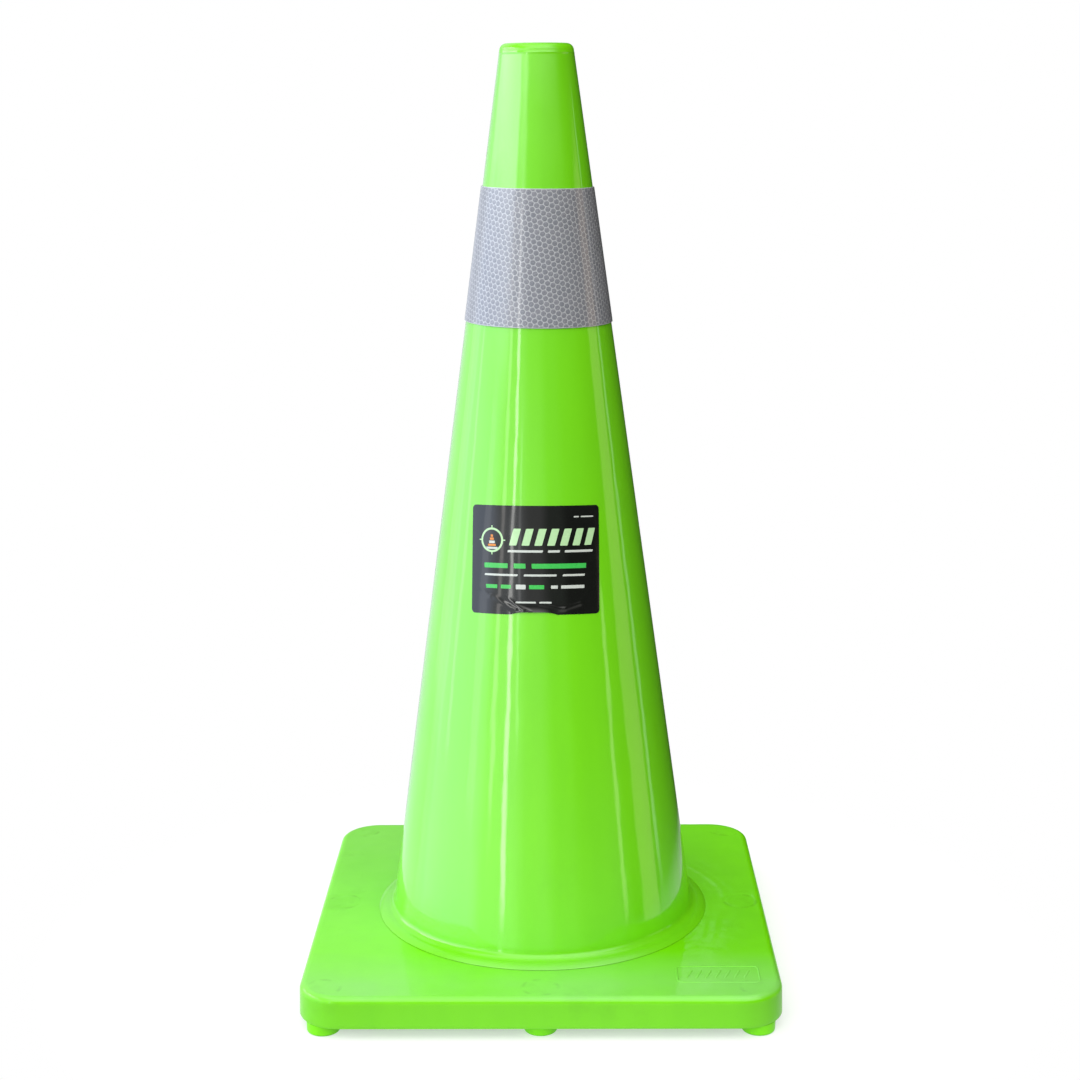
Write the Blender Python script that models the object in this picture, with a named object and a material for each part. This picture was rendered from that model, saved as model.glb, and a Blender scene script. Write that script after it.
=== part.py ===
"""A 700 mm traffic cone.

A hollow cone is locked into a square, ribbed base that stands on eight push-in feet. A reflective collar made
of a backing strip and a prismatic film is wrapped round the cone, and a label is stuck on the front.

Metres, +Z up. The origin is on the ground, on the cone's axis. -Y is the front, where the label is.
"""

import math

import bmesh
import bpy
from mathutils import Euler, Vector

# Driving dimensions of the cone
HEIGHT = 0.700
GROUND_RADIUS = 0.1232  # outer wall, carried down to the ground
TOP_RADIUS = 0.0266  # outer wall, carried up to the top
WALL = 0.0032
HOLE_RADIUS = 0.0190
RIM_ROUND = 0.0053
LIP_HEIGHT = 0.008  # the straight part of the top hole
LIP_RUNOUT = 0.007  # from the hole's radius back to the wall's
SEGMENTS = 64

# Driving dimensions of the base
BASE_SIDE = 0.353
BASE_TOP = 0.033
SKIRT_BOTTOM = 0.009
BASE_CORNER = 0.032
BASE_EDGE_ROUND = 0.005
SKIRT_DRAFT = 0.02  # how far the skirt leans in, per metre of height
SKIRT_WALL = 0.005
PLATE = 0.006
RING_WALL = 0.0042
RIB = 0.003
RIB_STATIONS = (-0.115, -0.058, 0.0, 0.058, 0.115)
RIB_LIFT = 0.002  # ribs end this far above the skirt's lower edge

# The joint between the cone and the base
GAP = 0.0003
BEAD_RADIUS = 0.014
BEAD_SINK = 0.0110
BEAD_CENTRE = 0.1214
BEAD_FILLET = 0.006
NECK_RADIUS = 0.1215
FLANGE_RADIUS = 0.1290
FLANGE = 0.004
FLANGE_CHAMFER = 0.0006

# Four ribs inside the cone set how deep one cone sits on the next
STACK_RIB_LOW = 0.520
STACK_RIB_HIGH = 0.615
STACK_RIB_DEPTH = 0.004
STACK_RIB_WIDTH = 0.003
STACK_RIB_LEAD_IN = 0.012
STACK_RIB_LEAD_IN_DEPTH = 0.0005

# Feet and the bosses that hold them
FOOT_OFFSET = 0.158
FOOT_RADIUS = 0.0124
FOOT_EDGE = 0.001
BOSS_RADIUS = 0.0120
BORE_RADIUS = 0.0080
STEM_RADIUS = 0.0066
BARB_RADIUS = 0.0077
STEM_TOP = 0.0245
BARB_TOP = 0.0220
BARB_BOTTOM = 0.0190
FOOT_SEGMENTS = 20

# Collar and label
SHEET_GAP = 0.0001
COLLAR_BOTTOM = 0.4982
COLLAR_TOP = 0.5974
COLLAR_SKEW = 0.0147  # the band sits lower at +X, by this much per metre
BACKING = 0.0005
FILM = 0.00035
FILM_INSET = 0.0002
COLLAR_LAP = 2  # in steps of the cone's segments
LABEL_WIDTH = 0.100
LABEL_HEIGHT = 0.080
LABEL_CORNER = 0.003
LABEL_THICKNESS = 0.0003
LABEL_CENTRE_HEIGHT = 0.3313
LABEL_AZIMUTH = math.radians(-92.3)
LABEL_COLUMNS = 26
LABEL_ROWS = 4  # between its round corners

TAPER = (GROUND_RADIUS - TOP_RADIUS) / HEIGHT
WALL_ANGLE = math.atan(TAPER)
PLATE_UNDERSIDE = BASE_TOP - PLATE
STEP = 2 * math.pi / SEGMENTS


def outer_radius(height):
    return GROUND_RADIUS - TAPER * height


def inner_radius(height):
    return outer_radius(height) - WALL / math.cos(WALL_ANGLE)


def clear_scene():
    for obj in list(bpy.data.objects):
        bpy.data.objects.remove(obj, do_unlink=True)


def finish_material(name, colour, roughness):
    material = bpy.data.materials.new(name)
    material.use_nodes = True
    shader = material.node_tree.nodes["Principled BSDF"]
    shader.inputs["Base Color"].default_value = (*colour, 1.0)
    shader.inputs["Roughness"].default_value = roughness
    shader.inputs["Metallic"].default_value = 0.0
    return material


def new_object(name, vertices, edges, faces, material=None):
    mesh = bpy.data.meshes.new(name)
    mesh.from_pydata(vertices, edges, faces)
    mesh.update()
    obj = bpy.data.objects.new(name, mesh)
    bpy.context.scene.collection.objects.link(obj)
    if material:
        mesh.materials.append(material)
    return obj


def as_helper(obj):
    """A cutter or a shape that a Boolean joins on: it isn't a piece of its own."""
    obj.hide_render = True
    obj.display_type = "WIRE"
    return obj


def arc(centre, radius, start, end, steps):
    """Points of an arc in (radius, height), with angles in radians from +radius towards +height."""
    angles = [start + (end - start) * i / steps for i in range(steps + 1)]
    return [(centre[0] + radius * math.cos(a), centre[1] + radius * math.sin(a)) for a in angles]


def turned(name, profile, segments, closed, material=None):
    """A solid of revolution. The profile of (radius, height) runs down the outer side."""
    vertices = [(radius, 0.0, height) for radius, height in profile]
    edges = [(i, i + 1) for i in range(len(profile) - 1)]
    if closed:
        edges.append((len(profile) - 1, 0))
    obj = new_object(name, vertices, edges, [], material)
    screw = obj.modifiers.new("Turn", "SCREW")
    screw.axis = "Z"
    screw.steps = segments
    screw.render_steps = segments
    screw.use_merge_vertices = True
    screw.merge_threshold = 0.00005
    screw.use_smooth_shade = False
    return obj


def boolean(obj, operation, other):
    """Joins another object, or each object of a collection, to obj, or cuts it away."""
    modifier = obj.modifiers.new(other.name, "BOOLEAN")
    modifier.operation = operation
    modifier.solver = "EXACT"
    if isinstance(other, bpy.types.Collection):
        modifier.operand_type = "COLLECTION"
        modifier.collection = other
    else:
        modifier.object = other


def box(name, low, high):
    """A box between two corners, as a helper."""
    mesh = bpy.data.meshes.new(name)
    work = bmesh.new()
    bmesh.ops.create_cube(work, size=1.0)
    size = Vector(high) - Vector(low)
    bmesh.ops.scale(work, vec=size, verts=work.verts)
    work.to_mesh(mesh)
    work.free()
    obj = bpy.data.objects.new(name, mesh)
    obj.location = (Vector(high) + Vector(low)) / 2
    bpy.context.scene.collection.objects.link(obj)
    return as_helper(obj)


def rounded_square(half, corner, height, steps=7):
    """A square outline with round corners, anticlockwise from above."""
    points = []
    for quarter in range(4):
        turn = quarter * math.pi / 2
        along, across = math.cos(turn + math.pi / 4), math.sin(turn + math.pi / 4)
        centre = (math.copysign(half - corner, along), math.copysign(half - corner, across))
        points += [(x, y, height) for x, y in arc(centre, corner, turn, turn + math.pi / 2, steps)]
    return points


def lofted(name, outlines, material=None):
    """A closed solid through outlines with equal numbers of points, from the lowest to the highest."""
    count = len(outlines[0])
    vertices = [point for outline in outlines for point in outline]
    faces = [tuple(reversed(range(count)))]
    for level in range(len(outlines) - 1):
        for i in range(count):
            j = (i + 1) % count
            low, high = level * count, (level + 1) * count
            faces.append((low + i, low + j, high + j, high + i))
    faces.append(tuple(range((len(outlines) - 1) * count, len(outlines) * count)))
    return new_object(name, vertices, [], faces, material)


def slab(name, inner, outer, material):
    """A sheet of even thickness between two grids of points, each a list of columns."""
    columns, rows = len(inner), len(inner[0])
    vertices = [point for grid in (inner, outer) for column in grid for point in column]

    def index(layer, column, row):
        return (layer * columns + column) * rows + row

    faces = []
    for i in range(columns - 1):
        for j in range(rows - 1):
            inside = [index(0, i, j), index(0, i, j + 1), index(0, i + 1, j + 1), index(0, i + 1, j)]
            faces.append(inside)
            faces.append([vertex + columns * rows for vertex in reversed(inside)])
    for i in range(columns - 1):
        faces.append([index(0, i, 0), index(0, i + 1, 0), index(1, i + 1, 0), index(1, i, 0)])
        last = rows - 1
        faces.append([index(1, i, last), index(1, i + 1, last), index(0, i + 1, last), index(0, i, last)])
    for j in range(rows - 1):
        faces.append([index(1, 0, j), index(1, 0, j + 1), index(0, 0, j + 1), index(0, 0, j)])
        last = columns - 1
        faces.append([index(0, last, j), index(0, last, j + 1), index(1, last, j + 1), index(1, last, j)])
    return new_object(name, vertices, [], faces, material)


def rim_profile():
    """The rounded top edge, from the flat top down to the wall."""
    centre_height = HEIGHT - RIM_ROUND
    centre_radius = outer_radius(centre_height) - RIM_ROUND / math.cos(WALL_ANGLE)
    return arc((centre_radius, centre_height), RIM_ROUND, math.pi / 2, WALL_ANGLE, 6)


def bead_profile():
    """The hollow fillet under the wall and the low round bead, whose centre lies BEAD_SINK under its foot."""
    bead = Vector((BEAD_CENTRE, BASE_TOP + GAP - BEAD_SINK))
    normal = Vector((math.cos(WALL_ANGLE), math.sin(WALL_ANGLE)))
    up_wall = Vector((-normal.y, normal.x))
    from_wall = bead.dot(normal) - GROUND_RADIUS * normal.x
    across = BEAD_FILLET - from_wall
    along = math.sqrt((BEAD_RADIUS + BEAD_FILLET) ** 2 - across**2)
    hollow = bead + across * normal + along * up_wall
    to_bead = bead - hollow
    start = math.pi + WALL_ANGLE
    end = math.atan2(to_bead.y, to_bead.x) % (2 * math.pi)
    bead_start = math.atan2(-to_bead.y, -to_bead.x)
    fillet = arc(hollow, BEAD_FILLET, start, end, 4)
    bead_end = math.asin(BEAD_SINK / BEAD_RADIUS)
    return fillet + arc(bead, BEAD_RADIUS, bead_start, bead_end, 7)[1:]


def neck_profile():
    """Under the bead: the neck through the base's hole, and the flange that locks under its plate."""
    flange_top = PLATE_UNDERSIDE - GAP
    flange_low = flange_top - FLANGE
    return [
        (NECK_RADIUS, BASE_TOP + GAP),
        (NECK_RADIUS, flange_top),
        (FLANGE_RADIUS - FLANGE_CHAMFER, flange_top),
        (FLANGE_RADIUS, flange_top - FLANGE_CHAMFER),
        (FLANGE_RADIUS, flange_low + FLANGE_CHAMFER),
        (FLANGE_RADIUS - FLANGE_CHAMFER, flange_low),
        (inner_radius(flange_low), flange_low),
    ]


def lip_profile():
    """Up the inside of the top hole."""
    lip_low = HEIGHT - LIP_HEIGHT
    wall_top = lip_low - LIP_RUNOUT
    edge = 0.0007
    rounded = arc((HOLE_RADIUS + edge, HEIGHT - edge), edge, math.pi, math.pi / 2, 2)
    return [(inner_radius(wall_top), wall_top), (HOLE_RADIUS, lip_low)] + rounded


def stacking_ribs():
    """Four upright ribs whose backs are sunk in the cone's wall, with a slope at their lower ends."""
    half = STACK_RIB_WIDTH / 2
    depths = (
        (STACK_RIB_LOW, STACK_RIB_LEAD_IN_DEPTH),
        (STACK_RIB_LOW + STACK_RIB_LEAD_IN, STACK_RIB_DEPTH),
        (STACK_RIB_HIGH, STACK_RIB_DEPTH),
    )
    outlines = []
    for height, depth in depths:
        back = inner_radius(height) + WALL / 2
        front = inner_radius(height) - depth
        corners = ((front, -half), (back, -half), (back, half), (front, half))
        outlines.append([(x, y, height) for x, y in corners])
    ribs = []
    for quarter in range(4):
        rib = as_helper(lofted(f"stacking_rib_{quarter}", outlines))
        rib.rotation_euler.z = quarter * math.pi / 2
        ribs.append(rib)
    return in_collection("stacking_ribs", ribs)


def make_cone_body(material):
    profile = rim_profile() + bead_profile() + neck_profile() + lip_profile()
    body = turned("cone_body", profile, SEGMENTS, True, material)
    boolean(body, "UNION", stacking_ribs())
    return body


def base_outlines():
    """The outside of the base, from its lower edge up round the top edge."""
    half = BASE_SIDE / 2
    edge = 0.0006
    outlines = [rounded_square(half - edge, BASE_CORNER - edge, SKIRT_BOTTOM)]
    outlines.append(rounded_square(half, BASE_CORNER, SKIRT_BOTTOM + edge))
    round_centre = BASE_TOP - BASE_EDGE_ROUND
    for inward, height in arc((0.0, round_centre), BASE_EDGE_ROUND, 0.0, math.pi / 2, 5):
        inset = SKIRT_DRAFT * (round_centre - SKIRT_BOTTOM) + BASE_EDGE_ROUND - inward
        outlines.append(rounded_square(half - inset, BASE_CORNER - inset, height))
    return outlines


def foot_places():
    """Each foot's place, by the name of where it is."""
    sides = {"left": -1, "mid": 0, "right": 1}
    depths = {"front": -1, "mid": 0, "back": 1}
    places = {}
    for depth_name, depth in depths.items():
        for side_name, side in sides.items():
            if side or depth:
                name = f"{side_name}_mid" if depth == 0 else f"{depth_name}_{side_name}"
                places[name] = (side * FOOT_OFFSET, depth * FOOT_OFFSET)
    return places


def base_stiffeners():
    """The ring round the hole, the ribs and the bosses, all sunk in the plate."""
    parts = []
    low, high = SKIRT_BOTTOM + RIB_LIFT, PLATE_UNDERSIDE + PLATE / 2
    ring_inner = FLANGE_RADIUS + 0.0008
    ring = [(ring_inner + RING_WALL, high), (ring_inner + RING_WALL, low), (ring_inner, low), (ring_inner, high)]
    parts.append(as_helper(turned("hole_ring", ring, SEGMENTS, True)))
    ring_middle = ring_inner + RING_WALL / 2
    skirt_middle = BASE_SIDE / 2 - SKIRT_WALL / 2
    for quarter in range(4):
        for number, station in enumerate(RIB_STATIONS):
            start = math.sqrt(ring_middle**2 - station**2)
            rib = box(
                f"rib_{quarter}_{number}",
                (start, station - RIB / 2, low),
                (skirt_middle, station + RIB / 2, high),
            )
            parts.append(rib)
            spin_about_axis(rib, quarter * math.pi / 2)
        diagonal = box(
            f"diagonal_rib_{quarter}",
            (ring_middle, -RIB / 2, low),
            (FOOT_OFFSET * math.sqrt(2), RIB / 2, high),
        )
        parts.append(diagonal)
        spin_about_axis(diagonal, (quarter + 0.5) * math.pi / 2)
    for name, place in foot_places().items():
        boss = [(0.0, high), (BOSS_RADIUS, high), (BOSS_RADIUS, SKIRT_BOTTOM), (0.0, SKIRT_BOTTOM)]
        solid = as_helper(turned(f"boss_{name}", boss, FOOT_SEGMENTS, False))
        solid.location = (*place, 0.0)
        parts.append(solid)
    return in_collection("base_stiffeners", parts)


def base_bores():
    """The bores of the bosses, which stop at the plate."""
    bores = []
    for name, place in foot_places().items():
        outline = [
            (0.0, PLATE_UNDERSIDE),
            (BORE_RADIUS, PLATE_UNDERSIDE),
            (BORE_RADIUS, SKIRT_BOTTOM - 0.002),
            (0.0, SKIRT_BOTTOM - 0.002),
        ]
        bore = as_helper(turned(f"bore_{name}", outline, FOOT_SEGMENTS, False))
        bore.location = (*place, 0.0)
        bores.append(bore)
    return in_collection("base_bores", bores)


def spin_about_axis(obj, angle):
    """Turns an object and its place about the cone's axis."""
    obj.location.rotate(Euler((0.0, 0.0, angle)))
    obj.rotation_euler.z = angle


def in_collection(name, objects):
    collection = bpy.data.collections.new(name)
    bpy.context.scene.collection.children.link(collection)
    for obj in objects:
        bpy.context.scene.collection.objects.unlink(obj)
        collection.objects.link(obj)
    return collection


def make_base(material):
    base = lofted("base", base_outlines(), material)
    half = BASE_SIDE / 2 - SKIRT_WALL
    corner = BASE_CORNER - SKIRT_WALL
    pocket = [rounded_square(half, corner, z) for z in (SKIRT_BOTTOM - 0.002, PLATE_UNDERSIDE)]
    boolean(base, "DIFFERENCE", as_helper(lofted("pocket", pocket)))
    boolean(base, "UNION", base_stiffeners())
    hole_radius = NECK_RADIUS + GAP
    hole = [(0.0, BASE_TOP + 0.01), (hole_radius, BASE_TOP + 0.01), (hole_radius, 0.0), (0.0, 0.0)]
    boolean(base, "DIFFERENCE", as_helper(turned("hole", hole, SEGMENTS, False)))
    boolean(base, "DIFFERENCE", base_bores())
    return base


def foot_profile():
    cap_top = SKIRT_BOTTOM - GAP
    return [
        (0.0, STEM_TOP),
        (STEM_RADIUS - 0.001, STEM_TOP),
        (STEM_RADIUS, BARB_TOP),
        (BARB_RADIUS, BARB_BOTTOM),
        (STEM_RADIUS, BARB_BOTTOM),
        (STEM_RADIUS, cap_top),
        (FOOT_RADIUS, cap_top),
        (FOOT_RADIUS - 0.0003, FOOT_EDGE),
        (FOOT_RADIUS - FOOT_EDGE, 0.0),
        (0.0, 0.0),
    ]


def make_feet(material):
    feet = []
    for name, place in foot_places().items():
        foot = turned(f"foot_{name}", foot_profile(), FOOT_SEGMENTS, False, material)
        foot.location = (*place, 0.0)
        feet.append(foot)
    return feet


def collar_strip(name, start, thickness, inset, material):
    """A strip wrapped once round the cone with its end lapped over its start, at the back.

    start is its inner face's distance from the wall, and inset how far its edges stay within the backing's.
    """
    lift = 2 * SHEET_GAP + BACKING + FILM
    columns = SEGMENTS + COLLAR_LAP + 1
    inner, outer = [], []
    for i in range(columns):
        angle = math.pi / 2 + i * STEP
        lapped = lift if i >= SEGMENTS else 0.0
        for grid, offset in ((inner, start + lapped), (outer, start + thickness + lapped)):
            column = []
            for edge in (COLLAR_BOTTOM + inset, COLLAR_TOP - inset):
                height = edge - COLLAR_SKEW * outer_radius(edge) * math.cos(angle)
                radius = outer_radius(height) + offset / math.cos(WALL_ANGLE)
                column.append((radius * math.cos(angle), radius * math.sin(angle), height))
            grid.append(column)
    return slab(name, inner, outer, material)


def make_collar(backing_material, film_material):
    backing = collar_strip("collar_backing", SHEET_GAP, BACKING, 0.0, backing_material)
    film_start = 2 * SHEET_GAP + BACKING
    film = collar_strip("collar_prism_film", film_start, FILM, FILM_INSET, film_material)
    return [backing, film]


def label_point(across, up, offset):
    """A point of the flat label wrapped on the cone: (across, up) are measured flat, from its centre."""
    apex_distance = GROUND_RADIUS / math.sin(WALL_ANGLE)
    centre = apex_distance - LABEL_CENTRE_HEIGHT / math.cos(WALL_ANGLE)
    distance = math.hypot(across, centre - up)
    turn = math.atan2(across, centre - up) / math.sin(WALL_ANGLE)
    radius = distance * math.sin(WALL_ANGLE) + offset * math.cos(WALL_ANGLE)
    height = (apex_distance - distance) * math.cos(WALL_ANGLE) + offset * math.sin(WALL_ANGLE)
    angle = LABEL_AZIMUTH + turn
    return (radius * math.cos(angle), radius * math.sin(angle), height)


def label_rows():
    """(height, half width) of the label's rows, closer together round its corners."""
    half_width, half_height = LABEL_WIDTH / 2, LABEL_HEIGHT / 2
    centre = (half_width - LABEL_CORNER, half_height - LABEL_CORNER)
    upper = [(height, across) for across, height in arc(centre, LABEL_CORNER, 0.0, math.pi / 2, 3)]
    lower = [(-height, across) for height, across in reversed(upper)]
    middle = [(centre[1] * (2 * i / LABEL_ROWS - 1), half_width) for i in range(1, LABEL_ROWS)]
    return lower + middle + upper


def make_label(material):
    grids = []
    for offset in (SHEET_GAP, SHEET_GAP + LABEL_THICKNESS):
        grid = []
        for i in range(LABEL_COLUMNS + 1):
            share = 2 * i / LABEL_COLUMNS - 1
            grid.append([label_point(share * half, up, offset) for up, half in label_rows()])
        grids.append(grid)
    return slab("label", grids[0], grids[1], material)


def settle(obj):
    """Applies the modifiers, and shades the round faces smooth with sharp edges between them."""
    graph = bpy.context.evaluated_depsgraph_get()
    mesh = bpy.data.meshes.new_from_object(obj.evaluated_get(graph))
    obj.modifiers.clear()
    obj.data = mesh
    mesh.shade_smooth()
    mesh.set_sharp_from_angle(angle=math.radians(30))


def main():
    clear_scene()
    lime = finish_material("lime_pvc", (0.20, 0.80, 0.03), 0.15)
    backing = finish_material("white_backing", (0.80, 0.80, 0.80), 0.40)
    film = finish_material("prism_film", (0.36, 0.38, 0.42), 0.12)
    vinyl = finish_material("label_vinyl", (0.01, 0.013, 0.01), 0.15)
    pieces = [make_cone_body(lime), make_base(lime), make_label(vinyl)]
    pieces += make_feet(lime) + make_collar(backing, film)
    for piece in pieces:
        settle(piece)


main()
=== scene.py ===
"""The looks of the traffic cone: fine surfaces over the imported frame, their materials, and a pale studio.

Metres, in the frame's own axes: +Z up, the origin on the ground on the cone's axis, -Y the labelled front.
"""

import math

import bmesh
import bpy
import numpy as np
from mathutils import Matrix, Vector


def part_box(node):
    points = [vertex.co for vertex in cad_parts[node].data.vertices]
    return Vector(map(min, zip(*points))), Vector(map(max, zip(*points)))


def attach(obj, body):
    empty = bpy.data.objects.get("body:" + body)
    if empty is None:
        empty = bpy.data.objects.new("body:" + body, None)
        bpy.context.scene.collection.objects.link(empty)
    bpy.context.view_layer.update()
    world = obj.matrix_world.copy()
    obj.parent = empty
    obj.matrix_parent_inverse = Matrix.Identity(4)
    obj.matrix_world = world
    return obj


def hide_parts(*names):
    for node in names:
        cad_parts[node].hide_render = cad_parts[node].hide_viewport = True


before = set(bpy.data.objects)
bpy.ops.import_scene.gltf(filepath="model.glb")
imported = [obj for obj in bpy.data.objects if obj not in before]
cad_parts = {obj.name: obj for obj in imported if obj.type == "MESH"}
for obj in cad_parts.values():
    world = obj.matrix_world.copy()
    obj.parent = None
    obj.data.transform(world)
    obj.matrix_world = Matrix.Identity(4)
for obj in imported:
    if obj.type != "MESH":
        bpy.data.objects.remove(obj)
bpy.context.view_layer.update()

MM = 0.001

# Sizes that come from the frame
CONE_LOW, CONE_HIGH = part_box("cone_body")
BASE_LOW, BASE_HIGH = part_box("base")
HEIGHT = CONE_HIGH[2]
BASE_HALF = BASE_HIGH[0]
BASE_TOP = BASE_HIGH[2]
SKIRT_BOTTOM = BASE_LOW[2]
FLANGE_BOTTOM = CONE_LOW[2]

# The cone, as the frame has it
GROUND_RADIUS = 0.1232
TOP_RADIUS = 0.0266
WALL = 0.0032
HOLE_RADIUS = 0.0190
RIM_ROUND = 0.0053
LIP_HEIGHT = 0.008
LIP_RUNOUT = 0.007
GAP = 0.0003
BEAD_RADIUS = 0.014
BEAD_SINK = 0.0110
BEAD_CENTRE = 0.1214
BEAD_FILLET = 0.006
NECK_RADIUS = 0.1215
FLANGE_RADIUS = 0.1290
STACK_RIB_LOW = 0.520
STACK_RIB_HIGH = 0.615
STACK_RIB_DEPTH = 0.004
STACK_RIB_WIDTH = 0.003
CONE_SEGMENTS = 288

# Fine relief on the cone, which the frame leaves out
RIM_RIDGE_DROP = 0.0062
RIM_RIDGE = 0.00010
WALL_RIPPLE = 0.000055

# The base, as the frame has it
BASE_CORNER = 0.032
BASE_EDGE_ROUND = 0.005
SKIRT_DRAFT = 0.02
SKIRT_WALL = 0.005
PLATE = 0.006
RING_WALL = 0.0042
RIB = 0.003
RIB_STATIONS = (-0.115, -0.058, 0.0, 0.058, 0.115)
RIB_LIFT = 0.002
FOOT_OFFSET = 0.158
FOOT_RADIUS = 0.0124
BOSS_RADIUS = 0.0120
BORE_RADIUS = 0.0080
STEM_RADIUS = 0.0066
BARB_RADIUS = 0.0077
STEM_TOP = 0.0245
BARB_TOP = 0.0220
BARB_BOTTOM = 0.0190
HOLE_EDGE = 0.0006
RING_INNER = FLANGE_RADIUS + 0.0008
EDGE_BREAK = 0.0005
SINK = 0.001
BASE_SPOKES = 720
TOP_LOOPS = 92
SINK_RING_RADIUS = 0.0128
EMBOSS_CENTRE = (0.130, -0.1365)
EMBOSS_HALF = (0.030, 0.0135)
EMBOSS_CORNER = 0.004
FOOT_SEGMENTS = 56
FOOT_EDGE = 0.0016
PINHOLE = 0.0004

# The collar and the label, as the frame has them
SHEET_GAP = 0.0001
COLLAR_BOTTOM = 0.4982
COLLAR_TOP = 0.5974
COLLAR_SKEW = 0.0147
BACKING = 0.0005
FILM = 0.00035
FILM_INSET = 0.0002
COLLAR_LAP = math.radians(11.25)
CELL_PITCH = 0.00415
CELL_TURN = math.radians(-18.7)
CELL_SHARE = 0.89
CELL_BLUNTING = 0.22
CELL_RISE = 0.00006
CELL_MARGIN = 0.0006
LABEL_WIDTH = 0.100
LABEL_HEIGHT = 0.080
LABEL_CORNER = 0.003
LABEL_THICKNESS = 0.00015
LABEL_CENTRE_HEIGHT = 0.3313
LABEL_AZIMUTH = math.radians(-92.3)
LABEL_CREASES = (
    # start x, start y, end x, end y, height, half width, all in millimetres from the label's centre
    (-33, -26, -14, -37, 0.35, 1.3),
    (-20, -28, -8, -38, 0.30, 0.9),
    (-16, -31, -3, -39, 0.25, 0.8),
    (4, -33, 22, -36, 0.28, 1.2),
    (14, -38, 34, -32, 0.30, 1.5),
    (-44, -20, -34, -27, 0.15, 1.2),
)
INK = 0.00003
INK_LOW = SHEET_GAP + LABEL_THICKNESS - 0.00001
EMBLEM_X, EMBLEM_Y = -32.6, 14.5
PRINT_SLANT = 0.28

TAPER = (GROUND_RADIUS - TOP_RADIUS) / HEIGHT
WALL_ANGLE = math.atan(TAPER)
SIN_WALL, COS_WALL = math.sin(WALL_ANGLE), math.cos(WALL_ANGLE)
APEX_HEIGHT = GROUND_RADIUS / TAPER
PLATE_UNDERSIDE = BASE_TOP - PLATE
STIFFENER_TOP = PLATE_UNDERSIDE + SINK
FILM_START = 2 * SHEET_GAP + BACKING
FILM_TOP = FILM_START + FILM
CELL_TURNS = (2 * math.pi + COLLAR_LAP) * SIN_WALL
FRONT = -math.pi / 2

# The PVC mouldings' looks. Below a height a moulding's colour is darkened as painted shade, on the cone's
# bead, the base's skirt and the feet, and it has the worn gloss
LIME = {"colour": (0.183, 0.715, 0.0), "deep": (0.163, 0.665, 0.0)}
BRIGHT_LIME = {"colour": (0.23, 0.90, 0.0), "deep": (0.19, 0.78, 0.0)}
CONE_LOOK = {
    **LIME, "darkening": 0.12, "gloss": 0.9, "worn_gloss": 0.4, "sheen": 0.35,
    "painted_shade": 0.07, "worn_and_shade_height": BASE_TOP + 0.013,
}
BASE_LOOK = {
    **LIME, "darkening": 0.35, "gloss": 0.32, "worn_gloss": 0.32, "sheen": 0.16,
    "painted_shade": 0.18, "worn_and_shade_height": BASE_TOP - 0.001,
}
FOOT_LOOK = {
    **BRIGHT_LIME, "darkening": 0.5, "gloss": 0.2, "worn_gloss": 0.2, "sheen": 0.12,
    "painted_shade": 0.18, "worn_and_shade_height": BASE_TOP,
}
WORN_RIM = (HEIGHT - 0.0075, HEIGHT - 0.0055)
# the pale colour of the painted sheen on the front of the base's top
PAINTED_SHEEN = (0.40, 0.62, 0.42)
BLACK = (0.0, 0.0, 0.0)

# The camera, over the front and turned about +Z
CAMERA_DISTANCE = 1.5005
CAMERA_HEIGHT = 0.664
CAMERA_PITCH = math.radians(12.573)
CAMERA_ROLL = math.radians(-0.40)
CAMERA_ORBIT = math.radians(0.70)
CAMERA_LENS = 66.68
SENSOR_WIDTH = 36.0

# The floor
FLOOR_RADIUS = 0.55
FLOOR_SIDES = 96
FLOOR_FADE = (0.20, 0.40)
FLOOR_GREY = 0.60
FLOOR_GLOW = 0.46
FLOOR_DROP = 0.0002

SURROUND = (
    # azimuth from and to (0 is the front), elevation from and to, softness, radiance
    # soft boxes: a broad one at the left with a bright bar over it, one over the front, and two overhead
    (-130, -46, 8.5, 23, 4.0, (3.4, 3.65, 3.95)),
    (-46, -26, 13, 25, 6.0, (2.2, 2.25, 2.2)),
    (-110, -66, 24, 31, 3.0, (8.5, 8.8, 9.1)),
    (-40, 64, 22, 58, 12.0, (2.8, 2.8, 2.7)),
    (-95, 95, 57, 78, 5.0, (1.0, 1.0, 1.0)),
    (-200, 200, 59, 100, 5.0, (1.15, 1.15, 1.15)),
    # pale screens under them, from the left round to the front
    (-170, -112, -23, 8, 4.0, (0.85, 0.9, 1.0)),
    (-112, -54, -23, 8, 8.0, (1.4, 1.6, 2.0)),
    (-56, -20, -23, 8, 8.0, (0.9, 0.95, 1.0)),
    (-22, 6, -23, 8, 7.0, (0.5, 0.5, 0.5)),
    (6, 28, -23, 8, 6.0, (0.12, 0.14, 0.12)),
    (-48, 0, -100, -23, 8.0, (0.3, 0.3, 0.3)),
    (0, 70, -100, -9, 8.0, (0.55, 0.55, 0.5)),
    # pale screens behind, for the gloss on the base's top
    (-181, -120, 12, 50, 6.0, (0.95, 1.0, 1.03)),
    (175.5, 181, 23.5, 40, 0.8, (0.85, 0.88, 0.88)),
    # tall strip lights
    (-124, -104, -9, 8, 0.8, (0.5, 0.55, 0.6)),
    (-95, -91, -8, 8, 0.6, (1.0, 1.05, 1.1)),
    (-66, -58, -7, 5, 0.8, (0.6, 0.6, 0.6)),
    (-45, -41, -6, 11, 0.8, (1.8, 1.7, 1.6)),
    (-32, -28.5, -8, 12, 0.4, (5.0, 5.0, 4.8)),
    (-23, -21, -3, 6, 0.8, (1.3, 1.3, 1.3)),
    (65.5, 69, -10, -1, 0.6, (1.6, 1.3, 1.0)),
    (84, 102, -14, 9, 1.2, (0.9, 0.65, 0.45)),
    (106, 110, -13, 9, 0.8, (0.9, 0.9, 0.9)),
    # a dim room beyond them
    (-200, 200, -100, 100, 1.0, (0.02, 0.02, 0.015)),
)


# ---------------- shapes


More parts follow.
